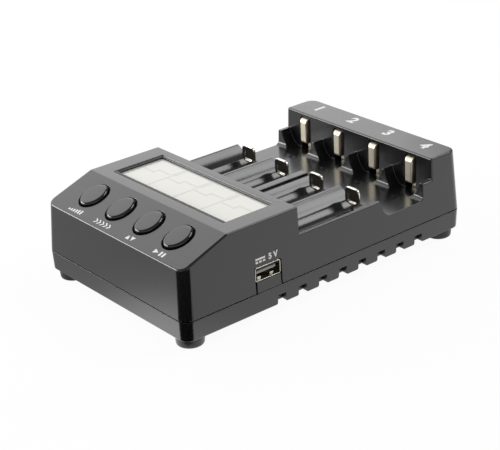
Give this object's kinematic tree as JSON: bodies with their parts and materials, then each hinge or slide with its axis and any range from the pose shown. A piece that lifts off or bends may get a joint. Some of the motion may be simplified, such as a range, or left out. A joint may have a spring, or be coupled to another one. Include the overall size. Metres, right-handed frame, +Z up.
{
  "type": "battery charger",
  "caption": "Desk charger for round cells: sloped button strip, display console, spring-loaded sliding contacts in moulded cradles, USB outlet and built-in fan.",
  "frame": {"origin": "middle of the footprint, on the surface that the feet stand on", "axes": "+X to the right of a user who faces the console, +Y from the console to the rear wall, +Z up"},
  "size_m": [0.099, 0.1572, 0.044],
  "materials": {
    "charcoal_plastic": "fine moulded texture",
    "black_plastic": "smooth moulded",
    "white_plastic": "smooth",
    "lcd_glass": "clear gloss over a pale reflector",
    "circuit_board": "satin solder mask",
    "nickel": "pressed sheet, nickel plated",
    "tin_plated_steel": "tin plated sheet",
    "gold_plated_contact": "gold plated",
    "spring_steel": "drawn wire",
    "zinc_plated_steel": "zinc plated",
    "rubber": "matte"
  },
  "bodies": {
    "housing": {"top_cover": "charcoal_plastic", "bottom_cover": "charcoal_plastic", "display_panel": "lcd_glass", "display_backlight": "white_plastic", "button_board": "circuit_board", "console_board": "circuit_board", "main_board": "circuit_board", "board_header": "black_plastic", "usb_shell": "tin_plated_steel", "usb_tongue": "white_plastic", "usb_contacts": "gold_plated_contact", "inlet_socket": "black_plastic", "inlet_pin": "nickel", "fan_frame": "black_plastic", "housing_screws": "zinc_plated_steel", "tact_switch_1": "black_plastic", "positive_contact_1": "nickel", "slider_spring_1": "spring_steel", "tact_switch_2": "black_plastic", "positive_contact_2": "nickel", "slider_spring_2": "spring_steel", "tact_switch_3": "black_plastic", "positive_contact_3": "nickel", "slider_spring_3": "spring_steel", "tact_switch_4": "black_plastic", "positive_contact_4": "nickel", "slider_spring_4": "spring_steel", "foot_front_left": "rubber", "foot_front_right": "rubber", "foot_rear_left": "rubber", "foot_rear_right": "rubber"},
    "slider_1": {"slider_contact_1": "nickel", "slider_carriage_1": "black_plastic"},
    "slider_2": {"slider_contact_2": "nickel", "slider_carriage_2": "black_plastic"},
    "slider_3": {"slider_contact_3": "nickel", "slider_carriage_3": "black_plastic"},
    "slider_4": {"slider_contact_4": "nickel", "slider_carriage_4": "black_plastic"},
    "push_button_1": {"button_1": "charcoal_plastic"},
    "push_button_2": {"button_2": "charcoal_plastic"},
    "push_button_3": {"button_3": "charcoal_plastic"},
    "push_button_4": {"button_4": "charcoal_plastic"},
    "fan": {"fan_rotor": "black_plastic"}
  },
  "joints": [
    {"name": "slider_1_slide", "type": "slide", "parent": "housing", "child": "slider_1", "axis": [0, -1, 0], "range_m": [0, 0.0384], "stiffness_N_per_m": 60, "springref_m": -0.03, "deforming": ["slider_spring_1"]},
    {"name": "slider_2_slide", "type": "slide", "parent": "housing", "child": "slider_2", "axis": [0, -1, 0], "range_m": [0, 0.0384], "stiffness_N_per_m": 60, "springref_m": -0.03, "deforming": ["slider_spring_2"]},
    {"name": "slider_3_slide", "type": "slide", "parent": "housing", "child": "slider_3", "axis": [0, -1, 0], "range_m": [0, 0.0384], "stiffness_N_per_m": 60, "springref_m": -0.03, "deforming": ["slider_spring_3"]},
    {"name": "slider_4_slide", "type": "slide", "parent": "housing", "child": "slider_4", "axis": [0, -1, 0], "range_m": [0, 0.0384], "stiffness_N_per_m": 60, "springref_m": -0.03, "deforming": ["slider_spring_4"]},
    {"name": "button_1_press", "type": "slide", "parent": "housing", "child": "push_button_1", "axis": [0, 0.3413, -0.9399], "range_m": [0, 0.0008], "stiffness_N_per_m": 1200, "springref_m": -0.0005},
    {"name": "button_2_press", "type": "slide", "parent": "housing", "child": "push_button_2", "axis": [0, 0.3413, -0.9399], "range_m": [0, 0.0008], "stiffness_N_per_m": 1200, "springref_m": -0.0005},
    {"name": "button_3_press", "type": "slide", "parent": "housing", "child": "push_button_3", "axis": [0, 0.3413, -0.9399], "range_m": [0, 0.0008], "stiffness_N_per_m": 1200, "springref_m": -0.0005},
    {"name": "button_4_press", "type": "slide", "parent": "housing", "child": "push_button_4", "axis": [0, 0.3413, -0.9399], "range_m": [0, 0.0008], "stiffness_N_per_m": 1200, "springref_m": -0.0005},
    {"name": "fan_spin", "type": "hinge", "parent": "housing", "child": "fan", "pos_m": [0, 0.022, 0.0101], "axis": [0, 0, 1], "continuous": true}
  ]
}
